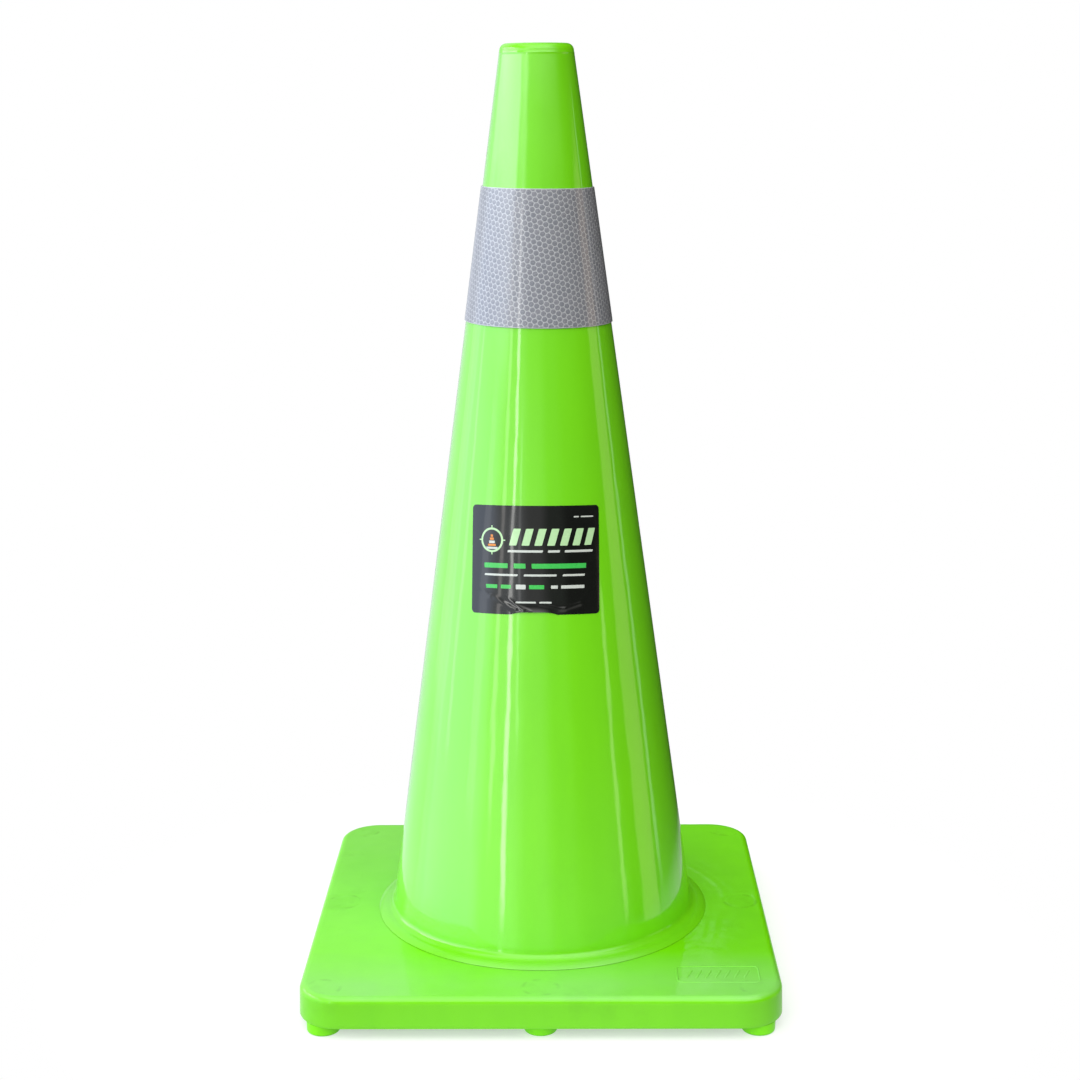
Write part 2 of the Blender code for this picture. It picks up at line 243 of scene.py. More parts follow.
def outer_radius(height):
    return GROUND_RADIUS - TAPER * height


def inner_radius(height):
    return outer_radius(height) - WALL / COS_WALL


def arc(centre, radius, start, end, steps):
    """Points of an arc, with angles in radians."""
    angles = np.linspace(start, end, steps + 1)
    return np.stack([centre[0] + radius * np.cos(angles), centre[1] + radius * np.sin(angles)], axis=1)


def grid_faces(columns, rows, close_columns, close_rows):
    """Quads over a grid of points that is stored column by column."""
    i = np.arange(columns if close_columns else columns - 1)
    j = np.arange(rows if close_rows else rows - 1)
    i, j = np.meshgrid(i, j, indexing="ij")
    right, up = (i + 1) % columns, (j + 1) % rows
    corners = [i * rows + j, right * rows + j, right * rows + up, i * rows + up]
    return np.stack([corner.ravel() for corner in corners], axis=1)


def capped_faces(columns, rows):
    """Quads over a band of closed columns, with one face over each end."""
    faces = grid_faces(columns, rows, False, True).tolist()
    first = list(range(rows))
    return [*faces, first[::-1], [(columns - 1) * rows + vertex for vertex in first]]


def face_outwards(mesh):
    """Turns the faces of every closed shell of a mesh outwards."""
    shells = bmesh.new()
    shells.from_mesh(mesh)
    bmesh.ops.recalc_face_normals(shells, faces=shells.faces)
    shells.to_mesh(mesh)
    shells.free()


def new_object(name, data):
    placed = bpy.data.objects.new(name, data)
    bpy.context.scene.collection.objects.link(placed)
    return placed


def add_piece(name, shape, material, replaced, sharp_angle=35.0):
    """A smooth-shaded mesh of a shape, which rides on the root and stands for a CAD node."""
    points, faces = shape
    mesh = bpy.data.meshes.new(name)
    mesh.from_pydata(np.asarray(points).reshape(-1, 3).tolist(), [], [list(map(int, face)) for face in faces])
    face_outwards(mesh)
    mesh.materials.append(material)
    mesh.shade_smooth()
    mesh.set_sharp_from_angle(angle=math.radians(sharp_angle))
    piece = new_object(name, mesh)
    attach(piece, "root")
    if replaced:
        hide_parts(*replaced)


def turned_points(profile, segments, place=(0.0, 0.0)):
    """Columns of points of a profile of (radius, height) turned about an upright axis at place."""
    angles = np.arange(segments) * 2 * math.pi / segments
    radius, height = np.asarray(profile).T
    x = np.cos(angles)[:, None] * radius
    y = np.sin(angles)[:, None] * radius
    z = np.broadcast_to(height, x.shape)
    return np.stack([x + place[0], y + place[1], z], axis=2)


def bead_outline():
    """The fillet at the foot of the wall, and the bead from there down to the base's top."""
    bead = np.array((BEAD_CENTRE, BASE_TOP + GAP - BEAD_SINK))
    normal = np.array((COS_WALL, SIN_WALL))
    up_wall = np.array((-SIN_WALL, COS_WALL))
    from_wall = bead @ normal - GROUND_RADIUS * COS_WALL
    across = BEAD_FILLET - from_wall
    along = math.sqrt((BEAD_RADIUS + BEAD_FILLET) ** 2 - across**2)
    hollow = bead + across * normal + along * up_wall
    to_bead = bead - hollow
    fillet_end = math.atan2(to_bead[1], to_bead[0]) % (2 * math.pi)
    fillet = arc(hollow, BEAD_FILLET, math.pi + WALL_ANGLE, fillet_end, 8)
    bead_start = math.atan2(-to_bead[1], -to_bead[0])
    bead_end = math.asin(BEAD_SINK / BEAD_RADIUS)
    return fillet, arc(bead, BEAD_RADIUS, bead_start, bead_end, 20)[1:]


def cone_outside():
    """Profile from the flat top down the outside to the bead's end, and where the wall starts and ends."""
    centre_height = HEIGHT - RIM_ROUND
    centre_radius = outer_radius(centre_height) - RIM_ROUND / COS_WALL
    rim = arc((centre_radius, centre_height), RIM_ROUND, math.pi / 2, WALL_ANGLE, 14)
    ridge_top = HEIGHT - RIM_RIDGE_DROP
    ridge = []
    for drop, rise in ((0.0, 0.0), (0.0003, RIM_RIDGE), (0.0007, RIM_RIDGE), (0.0010, 0.0)):
        ridge.append((outer_radius(ridge_top - drop) + rise, ridge_top - drop))
    fillet, bead = bead_outline()
    heights = np.linspace(ridge_top - 0.0020, fillet[0][1] + 0.001, 230)
    wall = np.stack([outer_radius(heights), heights], axis=1)
    start = len(rim) + len(ridge)
    return np.concatenate([rim, ridge, wall, fillet, bead]), start, start + len(wall)


def cone_inside():
    """Profile from the bead's underside through the neck and flange, up the inside to the top hole."""
    flange_top = PLATE_UNDERSIDE - GAP
    round_off = 0.0006
    foot = BEAD_CENTRE + math.sqrt(BEAD_RADIUS**2 - BEAD_SINK**2)
    points = [
        (foot - 0.0005, BASE_TOP + GAP * 0.6),
        (NECK_RADIUS + 0.0008, BASE_TOP + GAP * 0.6),
        (NECK_RADIUS, BASE_TOP - 0.0006),
        (NECK_RADIUS, flange_top + 0.0004),
        (NECK_RADIUS + 0.0004, flange_top),
        (FLANGE_RADIUS - round_off, flange_top),
        (FLANGE_RADIUS, flange_top - round_off),
        (FLANGE_RADIUS, FLANGE_BOTTOM + round_off),
        (FLANGE_RADIUS - round_off, FLANGE_BOTTOM),
        (inner_radius(FLANGE_BOTTOM) + round_off, FLANGE_BOTTOM),
        (inner_radius(FLANGE_BOTTOM), FLANGE_BOTTOM + round_off),
    ]
    lip_low = HEIGHT - LIP_HEIGHT
    heights = np.linspace(FLANGE_BOTTOM + 0.004, lip_low - LIP_RUNOUT, 120)
    wall = np.stack([inner_radius(heights), heights], axis=1)
    edge = 0.0007
    lip = [(HOLE_RADIUS + 0.0006, lip_low - 0.0006), (HOLE_RADIUS, lip_low + 0.0008)]
    rounded = arc((HOLE_RADIUS + edge, HEIGHT - edge), edge, math.pi, math.pi / 2, 5)
    start = len(points)
    return np.concatenate([points, wall, lip, rounded]), start, start + len(wall)


def wall_ripple(angle, height):
    """How far the moulded wall stands off a true cone: slow waves round it, slower ones along it."""
    drift = 1.7 * np.sin(4.1 * height + 0.6) + 0.8 * np.sin(11.0 * height)
    waves = 0.9 * np.sin(3 * angle + drift) + 0.6 * np.sin(7 * angle - 1.4 * drift + 1.0)
    fine = 0.22 * np.sin(17 * angle + 2.3 * drift) + 0.14 * np.sin(29 * angle - 3.1 * drift + 2.0)
    along = 0.5 * np.sin(31.0 * height + 1.3 * np.sin(2 * angle)) + 0.2 * np.sin(83.0 * height + 2.0)
    return WALL_RIPPLE * (waves + fine + along)


def stack_rib_depth(angles, radius, heights):
    """How far the four stacking ribs stand in from the inner wall, each with a slope under it."""
    to_rib = np.abs((angles + math.pi / 4) % (math.pi / 2) - math.pi / 4) * radius
    sides = np.clip((STACK_RIB_WIDTH / 2 + 0.0004 - to_rib) / 0.0006, 0, 1)
    ends = np.clip((heights - STACK_RIB_LOW) / 0.012, 0, 1) * (heights < STACK_RIB_HIGH)
    return STACK_RIB_DEPTH * sides * ends


def make_cone_body(material):
    """The cone's moulding in one closed surface, with the ribs inside as steps of its inner wall."""
    outside, wall_start, wall_end = cone_outside()
    inside, inner_start, inner_end = cone_inside()
    profile = np.concatenate([outside, inside])
    points = turned_points(profile, CONE_SEGMENTS)
    angles = np.arange(CONE_SEGMENTS)[:, None] * 2 * math.pi / CONE_SEGMENTS
    outwards = np.stack([np.cos(angles), np.sin(angles)], axis=2)
    heights = profile[wall_start:wall_end, 1][None, :]
    top_fade = np.clip((HEIGHT - 0.012 - heights) / 0.03, 0, 1)
    bottom_fade = np.clip((heights - 0.048) / 0.03, 0, 1)
    ripple = wall_ripple(angles, heights) * top_fade * bottom_fade
    points[:, wall_start:wall_end, :2] += outwards * ripple[:, :, None]
    inner = slice(len(outside) + inner_start, len(outside) + inner_end)
    depth = stack_rib_depth(angles, profile[inner, 0][None, :], profile[inner, 1][None, :])
    points[:, inner, :2] -= outwards * depth[:, :, None]
    faces = grid_faces(CONE_SEGMENTS, len(profile), True, True)[:, ::-1]
    add_piece("cone_moulding", (points, faces), material, ["cone_body"])


def square_radius(angle, half, corner):
    """Distance from the centre to a round-cornered square's outline, at each angle."""
    folded = np.abs((angle + math.pi / 4) % (math.pi / 2) - math.pi / 4)
    along, across = np.cos(folded), np.sin(folded)
    straight = half / along
    centre = half - corner
    middle = (along + across) * centre
    rounded = middle + np.sqrt(np.maximum(middle**2 - 2 * centre**2 + corner**2, 0.0))
    return np.where(straight * across <= centre, straight, rounded)


def foot_places():
    """Each foot's place, by the end of its node's name."""
    sides = {"left": -1, "mid": 0, "right": 1}
    depths = {"front": -1, "mid": 0, "back": 1}
    places = {}
    for depth_name, depth in depths.items():
        for side_name, side in sides.items():
            if side or depth:
                name = f"{side_name}_mid" if depth == 0 else f"{depth_name}_{side_name}"
                places[name] = (side * FOOT_OFFSET, depth * FOOT_OFFSET)
    return places


def top_relief(x, y):
    """Height of the base's top over a plane: sink marks over what is moulded under it, and flow waves."""
    radius = np.hypot(x, y)
    angle = np.arctan2(y, x)
    relief = 0.00010 * np.sin(31 * x + 2.0 * np.sin(19 * y)) * np.sin(27 * y + 1.0)
    for place_x, place_y in foot_places().values():
        away = np.hypot(x - place_x, y - place_y)
        relief -= 0.00008 * np.exp(-(((away - SINK_RING_RADIUS) / 0.0018) ** 2))
        relief -= 0.00006 * np.exp(-((away / 0.0080) ** 2))
    relief -= 0.000018 * over_ribs(x, y)
    wandering = 3.0 * angle + 2.4 * np.sin(70 * x + 50 * y)
    flow = np.exp(-(((radius - 0.143) / 0.010) ** 2)) * np.sin((radius - 0.130) * 560 + wandering)
    relief += 0.00003 * flow * (0.45 + 0.55 * np.cos(angle - 0.1))
    swirl = np.sin(210 * radius + 5.0 * angle + 1.5 * np.sin(60 * x))
    relief += 0.000022 * swirl * np.clip((radius - 0.135) / 0.02, 0, 1)
    inner_fade = np.clip((radius - 0.1315) / 0.004, 0, 1)
    return relief * inner_fade


def over_ribs(x, y):
    """How near a point of the base's top is to the line over a rib."""
    to_skirt = np.maximum(np.abs(x), np.abs(y))
    inside_skirt = np.clip((0.168 - to_skirt) / 0.004, 0, 1)
    total = np.zeros_like(x)
    for across, along in ((x, y), (y, x)):
        beyond_ring = np.clip((np.abs(along) - 0.125) / 0.01, 0, 1)
        for station in RIB_STATIONS:
            total += np.exp(-(((across - station) / 0.0016) ** 2)) * beyond_ring * inside_skirt
    return total


def tray_loops(angles):
    """Loops of (radius at each angle, height) from the hole over the top, down the skirt and back inside.

    The second result is how many there are up to the end of the top.
    """
    hole = NECK_RADIUS + GAP
    starts = ((hole, PLATE_UNDERSIDE), (hole, BASE_TOP - HOLE_EDGE), (hole + HOLE_EDGE, BASE_TOP))
    loops = [(np.full_like(angles, radius), height) for radius, height in starts]
    round_centre = BASE_TOP - BASE_EDGE_ROUND
    lean = SKIRT_DRAFT * (round_centre - SKIRT_BOTTOM)
    edge_inset = lean + BASE_EDGE_ROUND
    outer = square_radius(angles, BASE_HALF - edge_inset, BASE_CORNER - edge_inset)
    for share in np.linspace(0, 1, TOP_LOOPS)[:-1]:
        loops.append(((hole + HOLE_EDGE + SINK) * (1 - share) + outer * share, BASE_TOP))
    top_end = len(loops)
    edge = arc((0.0, round_centre), BASE_EDGE_ROUND, math.pi / 2, 0.0, 10)
    insets = [(edge_inset - inward, height) for inward, height in edge]
    for height in np.linspace(round_centre, SKIRT_BOTTOM + 0.0008, 8)[1:]:
        insets.append((SKIRT_DRAFT * (height - SKIRT_BOTTOM), height))
    insets += [
        (0.0003, SKIRT_BOTTOM + 0.0002),
        (0.0009, SKIRT_BOTTOM),
        (SKIRT_WALL - 0.0008, SKIRT_BOTTOM),
        (SKIRT_WALL, SKIRT_BOTTOM + 0.0008),
        (SKIRT_WALL, PLATE_UNDERSIDE - 0.0015),
        (SKIRT_WALL + 0.0005, PLATE_UNDERSIDE - 0.0005),
        (SKIRT_WALL + 0.0015, PLATE_UNDERSIDE),
    ]
    for inset, height in insets:
        loops.append((square_radius(angles, BASE_HALF - inset, BASE_CORNER - inset), height))
    return loops, top_end


def make_base_tray(material):
    """The base's plate and skirt as one closed surface, with its top's relief."""
    angles = (np.arange(BASE_SPOKES) + 0.5) * 2 * math.pi / BASE_SPOKES
    loops, top_end = tray_loops(angles)
    radius = np.stack([loop[0] for loop in loops], axis=1)
    height = np.broadcast_to([loop[1] for loop in loops], radius.shape)
    points = np.stack([radius * np.cos(angles)[:, None], radius * np.sin(angles)[:, None], height], axis=2)
    top = points[:, 3:top_end]
    to_edge = np.clip((1 - np.linspace(0, 1, top_end - 3)) / 0.06, 0, 1)[None, :]
    top[:, :, 2] += top_relief(top[:, :, 0], top[:, :, 1]) * to_edge
    faces = grid_faces(BASE_SPOKES, len(loops), True, True)
    add_piece("base_tray", (points, faces), material, ["base"])


def make_base_underside(material):
    """The ring round the hole, the ribs and the bosses under the plate, each sunk a little into it."""
    ring = tube_profile(RING_INNER, RING_INNER + RING_WALL, SKIRT_BOTTOM + RIB_LIFT)
    boss = tube_profile(BORE_RADIUS, BOSS_RADIUS, SKIRT_BOTTOM)
    bosses = [turned_shape(boss, 48, place) for place in foot_places().values()]
    shapes = [turned_shape(ring, 180), *rib_boxes(), *bosses]
    add_piece("base_stiffeners", joined(shapes), material, ["base"])


def tube_profile(inner, outer, bottom):
    """Section of a tube that hangs from the plate, with its lower edges broken."""
    return [
        (outer, STIFFENER_TOP),
        (outer, bottom + EDGE_BREAK),
        (outer - EDGE_BREAK, bottom),
        (inner + EDGE_BREAK, bottom),
        (inner, bottom + EDGE_BREAK),
        (inner, STIFFENER_TOP),
    ]


def turned_shape(profile, segments, place=(0.0, 0.0)):
    """A closed ring of the profile turned about an upright axis at place."""
    faces = grid_faces(segments, len(profile), True, True)[:, ::-1]
    return turned_points(profile, segments, place), faces


def rib_boxes():
    """The ribs of each quarter: from the ring to the skirt, to the side's boss and to the corner's boss."""
    ring_middle = RING_INNER + RING_WALL / 2
    skirt_middle = BASE_HALF - SKIRT_WALL + SINK
    to_side_boss = FOOT_OFFSET - BOSS_RADIUS + SINK
    to_corner_boss = FOOT_OFFSET * math.sqrt(2) - BOSS_RADIUS + SINK
    shapes = []
    for quarter in range(4):
        for station in RIB_STATIONS:
            start = math.sqrt(ring_middle**2 - station**2)
            end = to_side_boss if station == 0.0 else skirt_middle
            shapes.append(rib_box(start, end, station, quarter * math.pi / 2))
        shapes.append(rib_box(ring_middle, to_corner_boss, 0.0, (quarter + 0.5) * math.pi / 2))
    return shapes


def rib_box(start, end, station, turn):
    """A rib's corners and outward faces. It runs from start to end at a station, and is turned about +Z."""
    across = (station - RIB / 2, station + RIB / 2)
    heights = (SKIRT_BOTTOM + RIB_LIFT, STIFFENER_TOP)
    corners = np.array([(x, y, z) for x in (start, end) for y in across for z in heights])
    faces = [(0, 1, 3, 2), (4, 6, 7, 5), (0, 4, 5, 1), (2, 3, 7, 6), (0, 2, 6, 4), (1, 5, 7, 3)]
    return corners @ np.array(Matrix.Rotation(turn, 3, "Z")).T, faces


def joined(shapes):
    """One list of points and one of faces for several shapes."""
    points, faces, count = [], [], 0
    for shape_points, shape_faces in shapes:
        shape_points = np.asarray(shape_points).reshape(-1, 3)
        points.append(shape_points)
        faces += [[int(vertex) + count for vertex in face] for face in shape_faces]
        count += len(shape_points)
    return np.concatenate(points), faces


def make_base_emboss(material):
    """A blank embossed frame with plain slanted bars, half sunk in the front right of the base's top."""
    centre = np.array(EMBOSS_CENTRE)
    outline = []
    for quarter, signs in enumerate(((1, 1), (-1, 1), (-1, -1), (1, -1))):
        turn = quarter * math.pi / 2
        corner = centre + signs * (np.array(EMBOSS_HALF) - EMBOSS_CORNER)
        outline.append(arc(corner, EMBOSS_CORNER, turn, turn + math.pi / 2, 8))
    shapes = [ridge(np.concatenate(outline), 0.0006, 0.00035, True)]
    for number in range(7):
        middle = centre + ((number - 3) * 0.007, 0.0)
        bar = np.linspace(middle - (0.0025, 0.007), middle + (0.0025, 0.007), 7)
        shapes.append(ridge(bar, 0.0009, 0.00028, False))
    add_piece("base_emboss", joined(shapes), material, [])


def ridge(path, half_width, rise, closed):
    """A low round ridge along a path on the base's top, tapered at its ends unless it is closed."""
    ahead = np.roll(path, -1, axis=0) - np.roll(path, 1, axis=0)
    if not closed:
        ahead[0], ahead[-1] = path[1] - path[0], path[-1] - path[-2]
    ahead /= np.linalg.norm(ahead, axis=1)[:, None]
    side = np.stack([ahead[:, 1], -ahead[:, 0]], axis=1)
    section = [(math.cos(a), math.sin(a)) for a in np.linspace(0, math.pi, 7)]
    floor = BASE_TOP - 0.0005
    points = []
    for number, (place, out) in enumerate(zip(path, side)):
        shrink = 0.35 if not closed and number in (0, len(path) - 1) else 1.0
        reach = out * half_width * shrink
        column = [(*(place + reach * a), BASE_TOP + rise * shrink * b) for a, b in section]
        column += [(*(place - reach), floor), (*(place + reach), floor)]
        points.append(column)
    columns, rows = len(points), len(points[0])
    faces = grid_faces(columns, rows, True, True).tolist() if closed else capped_faces(columns, rows)
    return np.array(points).reshape(-1, 3), [face[::-1] for face in faces]


def make_feet(material):
    """Each foot with a worn round edge under its cap, and a barbed stem."""
    cap_top = SKIRT_BOTTOM - GAP
    profile = np.concatenate([
        [(PINHOLE, STEM_TOP), (STEM_RADIUS - 0.001, STEM_TOP), (STEM_RADIUS, BARB_TOP)],
        [(BARB_RADIUS, BARB_BOTTOM + 0.0004), (BARB_RADIUS - 0.0003, BARB_BOTTOM)],
        [(STEM_RADIUS, BARB_BOTTOM), (STEM_RADIUS, cap_top + 0.0003), (STEM_RADIUS + 0.0003, cap_top)],
        [(FOOT_RADIUS - 0.0004, cap_top), (FOOT_RADIUS, cap_top - 0.0004)],
        arc((FOOT_RADIUS - FOOT_EDGE - 0.0003, FOOT_EDGE), FOOT_EDGE, 0.0, -math.pi / 2, 6),
        [(FOOT_RADIUS * 0.5, 0.0), (PINHOLE, 0.0)],
    ])
    rows = len(profile)
    faces = grid_faces(FOOT_SEGMENTS, rows, True, False)[:, ::-1].tolist()
    faces.append([column * rows for column in range(FOOT_SEGMENTS)])
    faces.append([column * rows + rows - 1 for column in reversed(range(FOOT_SEGMENTS))])
    for name, place in foot_places().items():
        points = turned_points(profile, FOOT_SEGMENTS, place)
        add_piece(f"foot_{name}_moulding", (points, faces), material, [f"foot_{name}"])


# ---------------- collar and label


def from_flat(flat_x, flat_y, offset):
    """Where a point of a flat sheet lies once it is wrapped on the cone.

    Flat points are measured from the cone's apex, and the front is straight down. offset is the height of the
    point above the wall.
    """
    distance = np.hypot(flat_x, flat_y)
    azimuth = FRONT + np.arctan2(flat_x, -flat_y) / SIN_WALL
    radius = distance * SIN_WALL + offset * COS_WALL
    height = APEX_HEIGHT - distance * COS_WALL + offset * SIN_WALL
    return np.stack([radius * np.cos(azimuth), radius * np.sin(azimuth), height], axis=-1)


def collar_edge(turn, height):
    """Distance on the flat sheet from the apex to the band's edge at a height, at a turn from the front."""
    lowered = height - COLLAR_SKEW * outer_radius(height) * np.cos(FRONT + turn)
    return (APEX_HEIGHT - lowered) / COS_WALL


def lap_lift(turn):
    """The lapped end of the collar rides over its start, at the back."""
    full = 2 * SHEET_GAP + BACKING + FILM + CELL_RISE
    return full * np.clip((turn - (math.pi - math.radians(5))) / math.radians(5), 0, 1)


def make_collar_strip(name, start, thickness, inset, material, node):
    """One layer of the collar, from its start round to its lap, with start and thickness up from the wall."""
    turns = np.linspace(-math.pi, math.pi + COLLAR_LAP, 420)
    rows = 25
    layers = []
    for offset in (start, start + thickness):
        top = collar_edge(turns, COLLAR_TOP - inset)[:, None]
        bottom = collar_edge(turns, COLLAR_BOTTOM + inset)[:, None]
        distance = bottom + (top - bottom) * np.linspace(0, 1, rows)[None, :]
        flat = turns[:, None] * SIN_WALL
        lift = offset + lap_lift(turns)[:, None]
        layers.append(from_flat(distance * np.sin(flat), -distance * np.cos(flat), lift))
    points = np.concatenate([layers[1], layers[0][:, ::-1]], axis=1)
    add_piece(name, (points, capped_faces(len(turns), 2 * rows)), material, [node])


def clipped(polygon, beyond):
    """The part of a convex polygon where beyond(points) is not above zero."""
    values = beyond(polygon)
    kept = []
    for i in range(len(polygon)):
        j = (i + 1) % len(polygon)
        if values[i] <= 0:
            kept.append(polygon[i])
        if (values[i] <= 0) != (values[j] <= 0):
            share = values[i] / (values[i] - values[j])
            kept.append(polygon[i] + (polygon[j] - polygon[i]) * share)
    return np.array(kept)


def cell_outline():
    """A hexagon with blunt corners, the size of one sealed cell."""
    corner_radius = CELL_PITCH / math.sqrt(3) * CELL_SHARE
    angles = CELL_TURN + math.radians(30) + np.arange(6) * math.pi / 3
    corners = np.stack([np.cos(angles), np.sin(angles)], axis=1) * corner_radius
    before, after = np.roll(corners, 1, axis=0), np.roll(corners, -1, axis=0)
    pairs = [corners + (neighbour - corners) * CELL_BLUNTING for neighbour in (before, after)]
    return np.stack(pairs, axis=1).reshape(-1, 2)


def flat_reach(points):
    return np.hypot(*points.T)


def flat_turn(points):
    """The angle of flat points from straight down."""
    return np.arctan2(points[:, 0], -points[:, 1])


def cell_limits():
    """For each edge of the band, how far points lie beyond the line that cells keep inside."""
    first_turn, last_turn = -math.pi * SIN_WALL, (math.pi + COLLAR_LAP) * SIN_WALL
    return (
        lambda p: collar_edge(flat_turn(p) / SIN_WALL, COLLAR_TOP) + CELL_MARGIN - flat_reach(p),
        lambda p: flat_reach(p) - collar_edge(flat_turn(p) / SIN_WALL, COLLAR_BOTTOM) + CELL_MARGIN,
        lambda p: (first_turn - flat_turn(p)) * flat_reach(p) + CELL_MARGIN,
        lambda p: (flat_turn(p) - last_turn) * flat_reach(p) + CELL_MARGIN,
    )


def cell_shape(polygon):
    """A low pad on the film with the outline of a cell, and sides that slope in."""
    middle = polygon.mean(axis=0)
    layers = []
    for share, offset in ((1.0, -0.00002), (0.97, CELL_RISE * 0.7), (0.86, CELL_RISE)):
        ring = middle + (polygon - middle) * share
        lift = lap_lift(flat_turn(ring) / SIN_WALL) + FILM_TOP + offset
        layers.append(from_flat(ring[:, 0], ring[:, 1], lift))
    count = len(polygon)
    faces = [list(reversed(range(count)))]
    for low in (0, count):
        for k in range(count):
            following = (k + 1) % count
            faces.append([low + k, low + following, low + count + following, low + count + k])
    faces.append([2 * count + k for k in range(count)])
    return np.concatenate(layers), faces


def make_collar_cells(material):
    """The sealed hexagonal cells of the prismatic film, clipped to the band."""
    top = (APEX_HEIGHT - COLLAR_TOP) / COS_WALL
    bottom = (APEX_HEIGHT - COLLAR_BOTTOM) / COS_WALL
    centre = np.array((0.0, -(top + bottom) / 2))
    angles = (CELL_TURN, CELL_TURN + math.pi / 3)
    step_a, step_b = (CELL_PITCH * np.array((math.cos(angle), math.sin(angle))) for angle in angles)
    outline, limits = cell_outline(), cell_limits()
    shapes = []
    for i in range(-70, 71):
        for j in range(-70, 71):
            place = centre + i * step_a + j * step_b
            near_band = top - CELL_PITCH < math.hypot(*place) < bottom + CELL_PITCH
            near_turn = -0.01 < math.atan2(place[0], -place[1]) + math.pi * SIN_WALL < CELL_TURNS + 0.01
            polygon = outline + place if near_band and near_turn else ()
            for limit in limits:
                polygon = clipped(polygon, limit) if len(polygon) > 2 else ()
            if len(polygon) > 2 and polygon_area(polygon) > 1e-6:
                shapes.append(cell_shape(polygon))
    add_piece("collar_cells", joined(shapes), material, ["collar_prism_film"], 60)


def polygon_area(polygon):
    x, y = polygon[:, 0], polygon[:, 1]
    return abs(np.dot(x, np.roll(y, -1)) - np.dot(y, np.roll(x, -1))) / 2


def label_lift(across, up):
    """How far the sticker stands off the wall: flat, but for creases that gather at its lower edge."""
    lift = np.zeros_like(across)
    for crease in LABEL_CREASES:
        ax, ay, bx, by, rise, width = (value * MM for value in crease)
        length = (bx - ax) ** 2 + (by - ay) ** 2
        share = np.clip(((across - ax) * (bx - ax) + (up - ay) * (by - ay)) / length, 0, 1)
        away = np.hypot(across - ax - share * (bx - ax), up - ay - share * (by - ay))
        lift += rise * np.exp(-((away / width) ** 2)) * (0.3 + 0.7 * share)
    low = np.clip((-0.030 - up) / 0.010, 0, 1)
    middle = np.clip(1 - ((across + 0.0005) / 0.017) ** 2, 0, 1)
    lift += 0.0009 * low**2 * middle
    wavy = np.sin(260 * across + 1.2 * np.sin(90 * up)) * np.sin(60 * up + 0.5)
    return lift + 0.000035 * (1 + wavy)


def label_point(across, up, offset):
    """A point of the sticker, measured flat from its centre; its lower edge is drawn up in the middle."""
    across, up = np.asarray(across, float), np.asarray(up, float)
    lift = label_lift(across, up) + offset
    low = np.clip((-0.028 - up) / 0.012, 0, 1) ** 1.5
    middle = np.clip(1 - ((across + 0.0005) / 0.017) ** 4, 0, 1)
    from_apex = up + 0.0019 * (low * middle) - (APEX_HEIGHT - LABEL_CENTRE_HEIGHT) / COS_WALL
    turn = (LABEL_AZIMUTH - FRONT) * SIN_WALL
    cos_turn, sin_turn = math.cos(turn), math.sin(turn)
    return from_flat(across * cos_turn - from_apex * sin_turn, across * sin_turn + from_apex * cos_turn, lift)


def label_patch(sides_at, heights, columns, low, high):
    """A closed patch of the label between two offsets. sides_at gives its (left, right) at each height."""
    share = np.linspace(0, 1, columns)
    grids = []
    for offset in (high, low):
        rows = []
        for up in heights:
            left, right = sides_at(up)
            rows.append(label_point(left + (right - left) * share, np.full(columns, up), offset))
        grids.append(np.stack(rows, axis=1))
    points = np.concatenate([grids[0], grids[1][:, ::-1]], axis=1)
    return points.reshape(-1, 3), capped_faces(columns, 2 * len(heights))


def round_heights(half, corner, middle_rows):
    """Heights for the rows of a round-cornered patch, closer together in its corners."""
    upper = half - corner + corner * np.sin(np.linspace(0, math.pi / 2, 8))
    middle = np.linspace(-(half - corner), half - corner, middle_rows)[1:-1]
    return np.concatenate([-upper[::-1], middle, upper])


def round_sides(half_width, half_height, corner, centre=0.0, slant=0.0, middle=0.0):
    """A function that gives a patch's (left, right) at each height."""

    def sides(up):
        over = max(0.0, abs(up - middle) - (half_height - corner))
        cut = corner - math.sqrt(max(0.0, corner**2 - min(over, corner) ** 2))
        shift = centre + slant * (up - middle)
        return shift - half_width + cut, shift + half_width - cut

    return sides


def make_label(material):
    """The sticker: a round-cornered sheet just off the wall."""
    heights = round_heights(LABEL_HEIGHT / 2, LABEL_CORNER, 90)
    sides = round_sides(LABEL_WIDTH / 2, LABEL_HEIGHT / 2, LABEL_CORNER)
    sheet = label_patch(sides, heights, 150, SHEET_GAP, SHEET_GAP + LABEL_THICKNESS)
    add_piece("label_sticker", sheet, material, ["label"])


def ink_bar(centre_x, centre_y, width, height, slant=0.0, corner=0.4):
    """A printed bar, in millimetres on the flat label."""
    half_height, corner = height * MM / 2, min(corner, height / 2, width / 2) * MM
    middle = centre_y * MM
    heights = round_heights(half_height, corner, max(4, int(height / 0.8) + 3)) + middle
    sides = round_sides(width * MM / 2, half_height, corner, centre_x * MM, slant, middle)
    return label_patch(sides, heights, max(4, int(width / 0.7) + 3), INK_LOW, INK_LOW + INK)


def ink_ring(centre_x, centre_y, radius, stroke):
    """A printed ring, in millimetres on the flat label."""
    angles = np.linspace(0.0, 2 * math.pi, 73)[:-1]
    outer, inner, high = radius + stroke / 2, radius - stroke / 2, INK_LOW + INK
    edges = []
    for reach, offset in ((outer, INK_LOW), (outer, high), (inner, high), (inner, INK_LOW)):
        x = (centre_x + reach * np.cos(angles)) * MM
        y = (centre_y + reach * np.sin(angles)) * MM
        edges.append(label_point(x, y, offset))
    return np.stack(edges, axis=1).reshape(-1, 3), grid_faces(len(angles), 4, True, True).tolist()


def word_bars(left, centre_y, widths, gap, height, slant=0.0):
    """Plain bars in a row, as a layout drawing shows lines of print."""
    bars = []
    for width in widths:
        bars.append(ink_bar(left + width / 2, centre_y, width, height, slant))
        left += width + gap
    return bars


